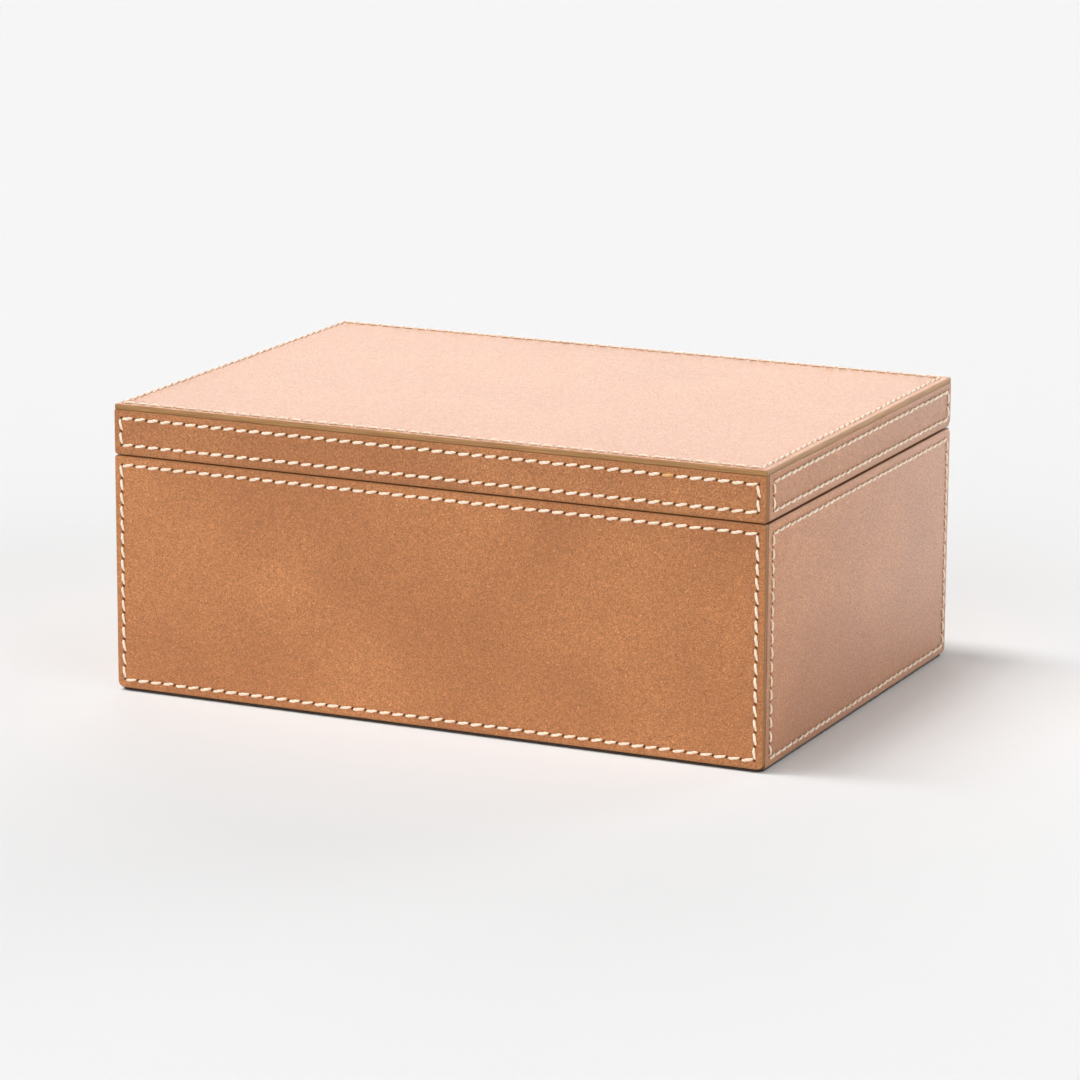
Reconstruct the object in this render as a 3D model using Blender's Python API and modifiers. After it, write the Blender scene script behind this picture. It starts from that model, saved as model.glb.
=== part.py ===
"""A stitched leather keepsake box with a lid that turns on two flush brass hinges.

Lengths are in metres. The box stands on z = 0 with its front towards -Y and its
width along X. Every wall is built from the outside in: leather, board, lining.
"""
import math

import bmesh
import bpy
from mathutils import Matrix, Vector

# Outside of the box
BOX_WIDTH = 0.250
BOX_DEPTH = 0.178
BOX_HEIGHT = 0.105
LID_HEIGHT = 0.0184
PARTING_GAP = 0.0004

# Leather panels
LEATHER_THICKNESS = 0.0020
LEATHER_ROUNDING = 0.00045
BASE_FOOT_RADIUS = 0.0024
PARTING_CORNER_RADIUS = 0.0012
LID_TOP_CORNER_RADIUS = 0.0006
TOP_PANEL_CORNER_RADIUS = 0.0008

# Boards of the carcass
WALL_BOARD = 0.0060
FLOOR_BOARD = 0.0050
TOP_BOARD = 0.0040
GLUE_LINE = 0.0003

# Linings and the sheet under the base
WALL_LINING = 0.0010
FLOOR_LINING = 0.0015
TOP_LINING = 0.0012
LINING_FOLD_RADIUS = 0.0008
FELT_THICKNESS = 0.0013
FELT_INSET = 0.0020
FELT_CORNER_RADIUS = 0.0050

# Hinges
HINGE_FROM_END = 0.0470
HINGE_LENGTH = 0.0320
KNUCKLE_COUNT = 5
KNUCKLE_GAP = 0.0003
LEAF_THICKNESS = 0.0012
BARREL_OVER_LEAF = 0.0001
BARREL_BELOW_BACK = 0.0002
PIN_RADIUS = 0.00075
PIN_CLEARANCE = 0.00008
PIN_CHAMFER = 0.00015
POCKET_CLEARANCE = 0.0003
STOP_BEVEL_ANGLE = math.radians(49.5)
STOP_EDGE_ROUNDING_SHARE = 0.4

# Screws of the hinges
SCREW_FROM_LEAF_END = 0.0055
SCREW_LENGTH = 0.0060
SCREW_HEAD_RADIUS = 0.00150
SCREW_HEAD_RIM = 0.00015
SCREW_SHANK_RADIUS = 0.00070
SCREW_TIP = 0.0010
SCREW_SLOT_WIDTH = 0.00040
SCREW_SLOT_DEPTH = 0.00040
SCREW_BELOW_LEAF = 0.00005
SCREW_CLEARANCE = 0.00010

# How far a cutter runs past what it cuts, and how finely round shapes are drawn
CUT_OVERRUN = 0.0010
WELD_DISTANCE = 0.000001
CORNER_STEPS = 4
BARREL_STEPS = 28
SCREW_STEPS = 16

# Colour, roughness and metallic value of each finish
FINISHES = {
    "top_leather": ((0.84, 0.62, 0.47), 0.45, 0.0),
    "side_leather": ((0.55, 0.27, 0.13), 0.45, 0.0),
    "board": ((0.62, 0.46, 0.29), 0.75, 0.0),
    "lining": ((0.58, 0.42, 0.29), 0.90, 0.0),
    "felt": ((0.05, 0.04, 0.03), 0.95, 0.0),
    "brass": ((0.72, 0.52, 0.22), 0.30, 1.0),
    "screw": ((0.76, 0.57, 0.28), 0.25, 1.0),
}

# Heights that the pieces share
parting_z = BOX_HEIGHT - LID_HEIGHT
base_rim = parting_z - PARTING_GAP / 2
lid_rim = parting_z + PARTING_GAP / 2
carcass_bottom = FELT_THICKNESS + GLUE_LINE
floor_lining_bottom = carcass_bottom + FLOOR_BOARD + GLUE_LINE
base_lining_bottom = floor_lining_bottom + FLOOR_LINING + GLUE_LINE
base_board_top = base_rim - WALL_LINING - GLUE_LINE
lid_leather_top = BOX_HEIGHT - LEATHER_THICKNESS - GLUE_LINE
top_board_bottom = lid_leather_top - TOP_BOARD
lid_board_top = top_board_bottom - GLUE_LINE
lid_board_bottom = lid_rim + WALL_LINING + GLUE_LINE
top_lining_bottom = lid_board_top - TOP_LINING
lid_lining_top = top_lining_bottom - GLUE_LINE

# How far each layer of a wall lies inside the outer face
board_inset = LEATHER_THICKNESS + GLUE_LINE
board_back_inset = board_inset + WALL_BOARD
lining_inset = board_back_inset + GLUE_LINE
cavity_inset = lining_inset + WALL_LINING

# The hinges' axis and barrel
barrel_radius = PARTING_GAP / 2 + LEAF_THICKNESS + BARREL_OVER_LEAF
axis_inset = barrel_radius + BARREL_BELOW_BACK
axis_y = BOX_DEPTH / 2 - axis_inset
pocket_radius = barrel_radius + POCKET_CLEARANCE
pocket_reach = board_back_inset - axis_inset + GLUE_LINE / 2
leaf_reach = pocket_reach - POCKET_CLEARANCE
screw_reach = (pocket_radius + leaf_reach) / 2
screw_face = PARTING_GAP / 2 + SCREW_BELOW_LEAF
knuckle_length = (HINGE_LENGTH - (KNUCKLE_COUNT - 1) * KNUCKLE_GAP) / KNUCKLE_COUNT

# The back panels keep a narrow flat beside their stop bevel, which limits their rounding
stop_edge_flat = LEATHER_THICKNESS - axis_inset + PARTING_GAP / 2 / math.tan(STOP_BEVEL_ANGLE)
stop_edge_rounding = min(LEATHER_ROUNDING, STOP_EDGE_ROUNDING_SHARE * stop_edge_flat)

# Each wall: its turn about Z, how far its outer face is from the middle, and half its run
WALLS = {
    "front": (0, BOX_DEPTH / 2, BOX_WIDTH / 2),
    "right": (90, BOX_WIDTH / 2, BOX_DEPTH / 2),
    "back": (180, BOX_DEPTH / 2, BOX_WIDTH / 2),
    "left": (270, BOX_WIDTH / 2, BOX_DEPTH / 2),
}
LONG_WALLS = ("front", "back")


def clear_scene():
    for old in list(bpy.data.objects):
        bpy.data.objects.remove(old, do_unlink=True)


def make_collection(name):
    collection = bpy.data.collections.new(name)
    bpy.context.scene.collection.children.link(collection)
    return collection


def make_material(name, finish):
    colour, roughness, metallic = FINISHES[finish]
    material = bpy.data.materials.new(name)
    material.use_nodes = True
    shader = material.node_tree.nodes["Principled BSDF"]
    shader.inputs["Base Color"].default_value = (*colour, 1)
    shader.inputs["Roughness"].default_value = roughness
    shader.inputs["Metallic"].default_value = metallic
    material.diffuse_color = (*colour, 1)
    return material


def mesh_from(bm, name):
    bmesh.ops.recalc_face_normals(bm, faces=bm.faces)
    mesh = bpy.data.meshes.new(name)
    bm.to_mesh(mesh)
    bm.free()
    return mesh


def add_piece(name, mesh, finish, axis=None):
    """Link a named sub-part; one that moves with the lid hangs on the lid's axis."""
    piece = bpy.data.objects.new(name, mesh)
    if not mesh.materials:
        mesh.materials.append(make_material(name + "_finish", finish))
    box_collection.objects.link(piece)
    if axis:
        piece.parent = axis
    return piece


def put(piece, location, turn=0, tip=0):
    """Place a piece by its place in the world, its turn about Z and its tip about X."""
    base = piece.parent.location if piece.parent else Vector((0, 0, 0))
    piece.location = Vector(location) - base
    piece.rotation_euler = (math.radians(tip), 0, math.radians(turn))
    return piece


def add_cutter(name, mesh, location=(0, 0, 0)):
    cutter = bpy.data.objects.new(name, mesh)
    cutter.location = location
    cutter.hide_render = True
    cutter.display_type = "WIRE"
    cutter_collection.objects.link(cutter)
    return cutter


def cut(piece, *cutters):
    for cutter in cutters:
        boolean = piece.modifiers.new("cut_" + cutter.name, "BOOLEAN")
        boolean.operation = "DIFFERENCE"
        boolean.solver = "EXACT"
        boolean.object = cutter


def round_edges(piece, width, segments=2):
    bevel = piece.modifiers.new("rounded_edges", "BEVEL")
    bevel.width = width
    bevel.segments = segments
    bevel.limit_method = "ANGLE"
    bevel.angle_limit = math.radians(35)
    bevel.use_clamp_overlap = True


def baked(piece):
    """The mesh of a piece with its modifiers or its curve worked out, welded."""
    evaluated = piece.evaluated_get(bpy.context.evaluated_depsgraph_get())
    mesh = bpy.data.meshes.new_from_object(evaluated)
    bm = bmesh.new()
    bm.from_mesh(mesh)
    bmesh.ops.remove_doubles(bm, verts=bm.verts, dist=WELD_DISTANCE)
    bpy.data.meshes.remove(mesh)
    return mesh_from(bm, piece.name)


def arc(centre, radius, start, end, steps):
    """Points along an arc, both ends included, with the angles in degrees."""
    points = []
    for step in range(steps + 1):
        angle = math.radians(start + (end - start) * step / steps)
        points.append((centre[0] + radius * math.cos(angle), centre[1] + radius * math.sin(angle)))
    return points


def rounded_outline(left, right, low, high, low_radius, high_radius):
    """A rectangle's outline, with one radius at its two low corners and one at its high ones."""
    points = []
    points += arc((left + low_radius, low + low_radius), low_radius, 180, 270, CORNER_STEPS)
    points += arc((right - low_radius, low + low_radius), low_radius, 270, 360, CORNER_STEPS)
    points += arc((right - high_radius, high - high_radius), high_radius, 0, 90, CORNER_STEPS)
    points += arc((left + high_radius, high - high_radius), high_radius, 90, 180, CORNER_STEPS)
    return points


def slab(name, outline, thickness):
    """A flat outline in x and y, thickened along z."""
    bm = bmesh.new()
    face = bm.faces.new([bm.verts.new((x, y, 0)) for x, y in outline])
    grown = bmesh.ops.extrude_face_region(bm, geom=[face])
    raised = [item for item in grown["geom"] if isinstance(item, bmesh.types.BMVert)]
    bmesh.ops.translate(bm, verts=raised, vec=(0, 0, thickness))
    return mesh_from(bm, name)


def rectangle(half_run, low, high):
    return [(-half_run, low), (half_run, low), (half_run, high), (-half_run, high)]


def block(name, size, centre=(0, 0, 0)):
    bm = bmesh.new()
    bmesh.ops.create_cube(bm, size=1)
    bmesh.ops.scale(bm, vec=size, verts=bm.verts)
    bmesh.ops.translate(bm, vec=centre, verts=bm.verts)
    return mesh_from(bm, name)


def rod(name, radius, length):
    """A cylinder along X, about the origin."""
    bm = bmesh.new()
    bmesh.ops.create_cone(
        bm, cap_ends=True, segments=BARREL_STEPS, radius1=radius, radius2=radius, depth=length,
        matrix=Matrix.Rotation(math.radians(90), 4, "Y"))
    return mesh_from(bm, name)


def trim(mesh, point, normal):
    """Cut a mesh by a plane, keep what lies behind the plane and close the cut."""
    bm = bmesh.new()
    bm.from_mesh(mesh)
    everything = bm.verts[:] + bm.edges[:] + bm.faces[:]
    bmesh.ops.bisect_plane(
        bm, geom=everything, plane_co=point, plane_no=normal, clear_outer=True, dist=WELD_DISTANCE)
    open_edges = [edge for edge in bm.edges if edge.is_boundary]
    bmesh.ops.edgenet_fill(bm, edges=open_edges)
    bmesh.ops.recalc_face_normals(bm, faces=bm.faces)
    bm.to_mesh(mesh)
    bm.free()


def turned(name, profile, steps):
    """A profile of radius and height, run down its outer side and turned about Z."""
    mesh = bpy.data.meshes.new(name)
    points = [(radius, 0, height) for radius, height in profile]
    links = [(index, index + 1) for index in range(len(points) - 1)]
    mesh.from_pydata(points, links, [])
    piece = bpy.data.objects.new(name, mesh)
    cutter_collection.objects.link(piece)
    screw = piece.modifiers.new("turn", "SCREW")
    screw.axis = "Z"
    screw.steps = steps
    screw.render_steps = steps
    screw.use_merge_vertices = True
    screw.merge_threshold = WELD_DISTANCE
    result = baked(piece)
    bpy.data.objects.remove(piece)
    return result


def extruded_curve(name, outlines, length):
    """Closed outlines in x and y, the later ones holes, filled and extruded along z."""
    curve = bpy.data.curves.new(name, "CURVE")
    curve.dimensions = "2D"
    curve.fill_mode = "BOTH"
    curve.extrude = length / 2
    for outline in outlines:
        spline = curve.splines.new("POLY")
        spline.points.add(len(outline) - 1)
        for point, (x, y) in zip(spline.points, outline):
            point.co = (x, y, 0, 1)
        spline.use_cyclic_u = True
    piece = bpy.data.objects.new(name, curve)
    cutter_collection.objects.link(piece)
    result = baked(piece)
    bpy.data.objects.remove(piece)
    return result


def soften(mesh):
    """Shade a round piece smooth, with its hard edges kept."""
    mesh.shade_smooth()
    mesh.set_sharp_from_angle(angle=math.radians(35))


def wall_slab(side, mesh, face_inset, thickness, name, finish, axis=None):
    """Stand a flat piece up against one wall, its outer face at the given inset."""
    turn, distance, _ = WALLS[side]
    piece = add_piece(name, mesh, finish, axis)
    inner = distance - face_inset - thickness
    direction = Matrix.Rotation(math.radians(turn), 4, "Z") @ Vector((0, -inner, 0))
    return put(piece, direction, turn, 90)


def leather_ends(side):
    """Where a panel starts and ends along its wall.

    The front panel covers the front ends of the side panels, and their back ends cover the
    ends of the back panel.
    """
    run = WALLS[side][2]
    inside = run - LEATHER_THICKNESS - GLUE_LINE
    ends = {
        "front": (-run, run),
        "right": (-inside, run),
        "back": (-inside, inside),
        "left": (-run, inside),
    }
    return ends[side]


def stop_bevel(half, side, mesh):
    """Cut the parting edge behind the hinges' axis, which stops the open lid."""
    across = math.sin(STOP_BEVEL_ANGLE)
    upward = math.cos(STOP_BEVEL_ANGLE) * (1 if half == "base" else -1)
    cuts = {
        "back": ((0, parting_z, LEATHER_THICKNESS - axis_inset), (0, upward, across)),
        "right": ((axis_y, parting_z, 0), (across, upward, 0)),
        "left": ((-axis_y, parting_z, 0), (-across, upward, 0)),
    }
    if side in cuts:
        trim(mesh, *cuts[side])


def board_half_run(side):
    run = WALLS[side][2]
    return run - board_inset if side in LONG_WALLS else run - board_back_inset - GLUE_LINE


def leather_panel(half, side, axis=None):
    """One wall's leather, with rounded corners."""
    left, right = leather_ends(side)
    name = half + "_" + side + "_leather"
    if half == "base":
        outline = rounded_outline(
            left, right, carcass_bottom, base_rim, BASE_FOOT_RADIUS, PARTING_CORNER_RADIUS)
    else:
        outline = rounded_outline(
            left, right, lid_rim, lid_leather_top, PARTING_CORNER_RADIUS, LID_TOP_CORNER_RADIUS)
    mesh = slab(name, outline, LEATHER_THICKNESS)
    stop_bevel(half, side, mesh)
    piece = wall_slab(side, mesh, 0, LEATHER_THICKNESS, name, "side_leather", axis)
    round_edges(piece, stop_edge_rounding if side == "back" else LEATHER_ROUNDING)
    return piece


def wall_board(half, side, axis=None):
    low, high = (carcass_bottom, base_board_top) if half == "base" else (lid_board_bottom, lid_board_top)
    name = half + "_" + side + "_board"
    mesh = slab(name, rectangle(board_half_run(side), low, high), WALL_BOARD)
    return wall_slab(side, mesh, board_inset, WALL_BOARD, name, "board", axis)


def wall_lining(half, side, axis=None):
    """A lining that climbs the wall and folds out over the rim, with mitred ends."""
    turn, distance, run = WALLS[side]
    inner = distance - cavity_inset
    fold = inner + WALL_LINING
    outer = distance - board_inset
    rim, foot = (base_rim, base_lining_bottom) if half == "base" else (lid_rim, lid_lining_top)
    inward = -1 if half == "base" else 1
    under = rim + inward * WALL_LINING
    outline = [(inner, foot), (fold, foot), (fold, under), (outer, under), (outer, rim)]
    centre = (inner + LINING_FOLD_RADIUS, rim + inward * LINING_FOLD_RADIUS)
    outline += arc(centre, LINING_FOLD_RADIUS, 180 + inward * 90, 180, CORNER_STEPS)
    name = half + "_" + side + "_lining"
    mesh = slab(name, outline, 2 * run)
    mesh.transform(Matrix.Translation((0, 0, -run)))
    swap = Matrix(((0, 0, -1, 0), (0, 1, 0, 0), (1, 0, 0, 0), (0, 0, 0, 1)))
    mesh.transform(swap)
    corner_run = run - cavity_inset
    half_gap = GLUE_LINE / 2
    for end in (-1, 1):
        normal = Vector((end, 0, -1)).normalized()
        corner = Vector((end * corner_run, 0, inner))
        trim(mesh, corner - normal * half_gap, normal)
    piece = add_piece(name, mesh, "lining", axis)
    return put(piece, (0, 0, 0), turn, 90)


def flat_sheet(name, inset, bottom, thickness, finish, corner_radius=None, axis=None):
    """A level piece whose edges lie inside the outer faces of the box by one inset."""
    half_x = BOX_WIDTH / 2 - inset
    half_y = BOX_DEPTH / 2 - inset
    if corner_radius:
        outline = rounded_outline(-half_x, half_x, -half_y, half_y, corner_radius, corner_radius)
    else:
        outline = rectangle(half_x, -half_y, half_y)
    piece = add_piece(name, slab(name, outline, thickness), finish, axis)
    return put(piece, (0, 0, bottom))


def screw_profile(clearance, top):
    """Half the outline of a countersunk screw, its head's face at zero."""
    head = SCREW_HEAD_RADIUS + clearance
    shank = SCREW_SHANK_RADIUS + clearance
    cone_end = -SCREW_HEAD_RIM - (SCREW_HEAD_RADIUS - SCREW_SHANK_RADIUS)
    end = -SCREW_LENGTH - clearance
    return [
        (0, top),
        (head, top),
        (head, -SCREW_HEAD_RIM),
        (shank, cone_end),
        (shank, end + SCREW_TIP),
        (0, end),
    ]


def leaf_outline(upward):
    """The edge of a leaf seen along the hinge: a barrel rolled on the end of a flat.

    It is drawn in distance inward from the axis and height above it.
    """
    low = PARTING_GAP / 2
    high = low + LEAF_THICKNESS
    start = math.degrees(math.asin(low / barrel_radius))
    end = math.degrees(math.asin(high / barrel_radius)) - 360
    outline = [(leaf_reach, high), (leaf_reach, low)]
    outline += arc((0, 0), barrel_radius, start, end, BARREL_STEPS)
    return [(inward, upward * height) for inward, height in outline]


def leaf_mesh(name, upward, first_knuckle):
    """A hinge leaf about its axis, slotted where the other leaf's knuckles turn."""
    bore_radius = (PIN_RADIUS + PIN_CLEARANCE) / math.cos(math.pi / BARREL_STEPS)
    bore = arc((0, 0), bore_radius, 0, 360, BARREL_STEPS)[:-1]
    mesh = extruded_curve(name, [leaf_outline(upward), bore], HINGE_LENGTH)
    along_hinge = Matrix(((0, 0, -1, 0), (-1, 0, 0, 0), (0, 1, 0, 0), (0, 0, 0, 1)))
    mesh.transform(along_hinge)
    leaf = add_cutter(name + "_blank", mesh)
    cutters = []
    depth = 2 * pocket_radius
    for index in range(1 - first_knuckle, KNUCKLE_COUNT, 2):
        middle = (index + 0.5) * knuckle_length + index * KNUCKLE_GAP - HINGE_LENGTH / 2
        slot = block(name + "_slot", (knuckle_length + 2 * KNUCKLE_GAP, depth, depth))
        cutters.append(add_cutter(name + "_slot", slot, (middle, 0, 0)))
    for x in screw_places(0):
        hole = turned(name + "_hole", screw_profile(SCREW_CLEARANCE, CUT_OVERRUN), SCREW_STEPS)
        hole_cutter = add_cutter(name + "_hole", hole, (x, -screw_reach, upward * screw_face))
        hole_cutter.rotation_euler = (screw_tip(upward), 0, 0)
        cutters.append(hole_cutter)
    cut(leaf, *cutters)
    result = baked(leaf)
    for used in [leaf] + cutters:
        bpy.data.objects.remove(used)
    soften(result)
    return result


def pin_mesh():
    half = HINGE_LENGTH / 2
    small = PIN_RADIUS - PIN_CHAMFER
    profile = [(0, half), (small, half), (PIN_RADIUS, half - PIN_CHAMFER)]
    profile += [(radius, -height) for radius, height in reversed(profile)]
    mesh = turned("pin", profile, BARREL_STEPS)
    mesh.transform(Matrix.Rotation(math.radians(90), 4, "Y"))
    soften(mesh)
    return mesh


def screw_mesh():
    """A countersunk screw with a driver's slot across its head."""
    mesh = turned("screw", screw_profile(0, 0), SCREW_STEPS)
    screw = add_cutter("screw_blank", mesh)
    length = 2 * (SCREW_HEAD_RADIUS + CUT_OVERRUN)
    slot = block("screw_slot", (length, SCREW_SLOT_WIDTH, 2 * SCREW_SLOT_DEPTH))
    slot_cutter = add_cutter("screw_slot", slot)
    cut(screw, slot_cutter)
    result = baked(screw)
    bpy.data.objects.remove(screw)
    bpy.data.objects.remove(slot_cutter)
    soften(result)
    return result


def screw_places(hinge_x):
    reach = HINGE_LENGTH / 2 - SCREW_FROM_LEAF_END
    return [hinge_x + side * reach for side in (-1, 1)]


def screw_tip(upward):
    """A screw points down into the base, or up into the lid."""
    return math.pi if upward > 0 else 0


def hinge_pockets(hinge_x, label):
    """What is cut out of the back wall of both halves for one hinge."""
    length = HINGE_LENGTH + 2 * POCKET_CLEARANCE
    height = 2 * (PARTING_GAP / 2 + LEAF_THICKNESS + POCKET_CLEARANCE)
    flat = block(label + "_leaf_pocket", (length, pocket_reach, height))
    barrel = rod(label + "_barrel_pocket", pocket_radius, length)
    return [
        add_cutter(flat.name, flat, (hinge_x, axis_y - pocket_reach / 2, parting_z)),
        add_cutter(barrel.name, barrel, (hinge_x, axis_y, parting_z)),
    ]


def screw_pilots(hinge_x, label, upward):
    pilots = []
    for number, x in enumerate(screw_places(hinge_x), 1):
        name = label + "_pilot_" + str(number)
        mesh = turned(name, screw_profile(SCREW_CLEARANCE, CUT_OVERRUN), SCREW_STEPS)
        pilot = add_cutter(name, mesh, (x, axis_y - screw_reach, parting_z + upward * screw_face))
        pilot.rotation_euler = (screw_tip(upward), 0, 0)
        pilots.append(pilot)
    return pilots


def build_half(half, axis=None):
    """The leather, boards and linings of the four walls of the base or the lid."""
    backs = {}
    for side in WALLS:
        leather = leather_panel(half, side, axis)
        board = wall_board(half, side, axis)
        lining = wall_lining(half, side, axis)
        if side == "back":
            backs = {"leather": leather, "board": board, "lining": lining}
    return backs


def build_base():
    backs = build_half("base")
    flat_sheet(
        "base_floor_board", board_back_inset + GLUE_LINE, carcass_bottom, FLOOR_BOARD, "board")
    flat_sheet(
        "base_floor_lining", board_back_inset + GLUE_LINE, floor_lining_bottom, FLOOR_LINING,
        "lining")
    flat_sheet("base_felt", FELT_INSET, 0, FELT_THICKNESS, "felt", FELT_CORNER_RADIUS)
    return backs


def build_lid(axis):
    backs = build_half("lid", axis)
    flat_sheet("lid_top_board", board_inset, top_board_bottom, TOP_BOARD, "board", axis=axis)
    flat_sheet(
        "lid_top_lining", board_back_inset + GLUE_LINE, top_lining_bottom, TOP_LINING, "lining",
        axis=axis)
    top = flat_sheet(
        "lid_top_leather", 0, BOX_HEIGHT - LEATHER_THICKNESS, LEATHER_THICKNESS, "top_leather",
        TOP_PANEL_CORNER_RADIUS, axis)
    round_edges(top, LEATHER_ROUNDING)
    return backs


def build_hinges(base_backs, lid_backs, axis):
    halves = {
        "base": (-1, leaf_mesh("base_leaf", -1, 0), base_backs, None),
        "lid": (1, leaf_mesh("lid_leaf", 1, 1), lid_backs, axis),
    }
    pin = pin_mesh()
    screw = screw_mesh()
    for label, side in (("left", -1), ("right", 1)):
        hinge_x = side * (BOX_WIDTH / 2 - HINGE_FROM_END)
        on_axis = (hinge_x, axis_y, parting_z)
        pockets = hinge_pockets(hinge_x, label)
        put(add_piece("hinge_" + label + "_pin", pin, "screw"), on_axis)
        for half, (upward, leaf, backs, carrier) in halves.items():
            name = "hinge_" + label + "_" + half + "_leaf"
            put(add_piece(name, leaf, "brass", carrier), on_axis)
            pilots = screw_pilots(hinge_x, label + "_" + half, upward)
            cut(backs["leather"], *pockets)
            cut(backs["board"], *pockets, *pilots)
            cut(backs["lining"], pockets[0])
            for number, x in enumerate(screw_places(hinge_x), 1):
                name = "screw_" + label + "_" + half + "_" + str(number)
                piece = add_piece(name, screw, "screw", carrier)
                put(piece, (x, axis_y - screw_reach, parting_z + upward * screw_face))
                piece.rotation_euler = (screw_tip(upward), 0, 0)


def lid_axis():
    """The empty on the hinges' axis that carries everything on the lid."""
    axis = bpy.data.objects.new("lid_axis", None)
    axis.location = (0, axis_y, parting_z)
    axis.empty_display_size = barrel_radius
    box_collection.objects.link(axis)
    return axis


clear_scene()
box_collection = make_collection("leather_box")
cutter_collection = make_collection("leather_box_cutters")
lid_carrier = lid_axis()
base_back_pieces = build_base()
lid_back_pieces = build_lid(lid_carrier)
build_hinges(base_back_pieces, lid_back_pieces, lid_carrier)
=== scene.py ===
"""The looks of a stitched leather keepsake box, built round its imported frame.

Lengths are in metres. A piece of leather is drawn in its own plane: u along it, v up it and
w out of its face, so that one set of functions makes every panel and every row of stitches.
"""
import math

import bpy
import numpy as np
from mathutils import Matrix, Vector
from mathutils.geometry import delaunay_2d_cdt


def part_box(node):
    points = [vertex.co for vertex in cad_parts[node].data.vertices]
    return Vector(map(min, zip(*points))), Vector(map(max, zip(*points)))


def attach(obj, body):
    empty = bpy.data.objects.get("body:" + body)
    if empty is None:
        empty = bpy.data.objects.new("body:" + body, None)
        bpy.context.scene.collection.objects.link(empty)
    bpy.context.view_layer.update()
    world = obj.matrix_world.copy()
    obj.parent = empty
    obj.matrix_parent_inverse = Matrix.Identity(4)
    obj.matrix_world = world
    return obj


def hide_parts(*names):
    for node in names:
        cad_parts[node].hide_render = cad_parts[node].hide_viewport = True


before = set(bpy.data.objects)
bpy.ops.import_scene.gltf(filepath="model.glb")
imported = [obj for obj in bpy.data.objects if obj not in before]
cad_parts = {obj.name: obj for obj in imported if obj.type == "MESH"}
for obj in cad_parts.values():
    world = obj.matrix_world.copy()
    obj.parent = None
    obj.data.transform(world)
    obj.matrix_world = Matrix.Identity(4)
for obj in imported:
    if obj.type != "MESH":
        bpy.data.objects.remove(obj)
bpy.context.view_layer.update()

MM = 0.001

# Leather panels: how round their cut edges and corners are, and the chamfer at their backs
EDGE_ROUNDING = 0.00035
TOP_ROUNDING = 0.00075
BACK_ARRIS = 0.00015
LEAST_CORNER = 0.00012
FOOT_CORNER = 0.0024
PARTING_CORNER = 0.0012
LID_TOP_CORNER = 0.0007
TOP_CORNER = 0.0009
CORNER_POINTS = 6
CORNER_MARGIN = 0.00035

# How far a panel is drawn past the CAD's: at a seam, under the lid's top, at the parting of the
# front and at the foot. At the parting of the sides it stops short by the last value.
SEAM_CLOSED = 0.00012
TOP_SEAM_CLOSED = 0.00029
PARTING_CLOSED = 0.00007
FOOT_LOWERED = 0.0004
PARTING_OPENED = 0.00012

# The stop bevel, which starts at the hinges' axis, and the depth at which it is fully burnished
STOP_BEVEL_ANGLE = math.radians(49.5)
AXIS_INSET = 0.0017
AXIS_PAST_RIM = 0.0002
BEVEL_SOFTNESS = 0.00012
BURNISHED_BEVEL = 0.0002

# Pockets for the barrels of the hinges in the rims of the back panels
HINGE_PLACES = (-0.078, 0.078)
POCKET_HALF_WIDTH = 0.0163
POCKET_DEPTH = 0.0016
POCKET_BLEND = 0.0030

# Painted shade of a seam: the distances from the edge between which it fades, and its height
# over the leather's back
SEAM_REACH = (0.00010, 0.00050)
BACK_SHADE = 0.00035
# Shares of the rounding between which the burnish of the cut edge fades
BURNISH_FADE = (0.10, 0.95)
# Share of burnish and painted shade from which a face has the burnished leather
BURNISHED_FROM = 0.55

# Rings of points below the rounded edge
BACK_RINGS = 3
# Shares of the way from the rounded edge to the band of stitches at which a face has a ring
LEAD_SHARES = (0.40, 0.74, 0.85)
# Shares of a corner's zone at which a side has a point
CORNER_SHARES = (0.0, 0.05, 0.11, 0.18, 0.26, 0.36, 0.48, 0.62, 0.80)
# Insets of the rings that round the cut edge over, as shares of its radius
ROUNDING_SHARES = (0.0, 0.04, 0.15, 0.35, 0.62, 1.0)
# Rings either side of a row of stitches, and points either side of a hole
BAND_OFFSETS = (
    -0.0010, -0.0007, -0.00048, -0.0003, -0.00014, 0.0, 0.00014, 0.0003, 0.00048, 0.0007,
    0.0010, 0.0017, 0.0026)
HOLE_OFFSETS = (-0.00080, -0.00050, -0.00028, -0.00009, 0.00009, 0.00028, 0.00050, 0.00080)
# Points that fill the middle of a face
FILL_SPACING = 0.0080
FILL_MARGIN = 0.0035
FILL_TOLERANCE = 1e-5
# Angles in degrees from which the edge between two faces is sharp
LEATHER_CREASE = 50
THREAD_CREASE = 80
FELT_CREASE = 60

# Holes of the stitches: slits, a pucker round each and a groove along the row
SLIT_ANGLE = math.radians(49)
SLIT_HALF_LENGTH = 0.00062
SLIT_HALF_WIDTH = 0.00028
SLIT_DEPTH = 0.00055
# Shares of a slit's size between which its wall rises and its painted shade fades
SLIT_WALL = (0.25, 1.25)
SLIT_LIP = (0.7, 1.5)
PUCKER_RADIUS = 0.0012
PUCKER_DEPTH = 0.00010
# Distance from a hole within which its marks are worked out
HOLE_REACH = 3 * PUCKER_RADIUS
GROOVE_HALF_WIDTH = 0.0009
GROOVE_DEPTH = 0.00008

# Slow waves of a face: depth, length, how many, and the least and greatest share of that length
SURFACE_WAVE = 0.00006
SURFACE_WAVE_LENGTH = 0.021
WAVE_COUNT = 6
WAVE_SHARES = (0.7, 2.2)
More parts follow.
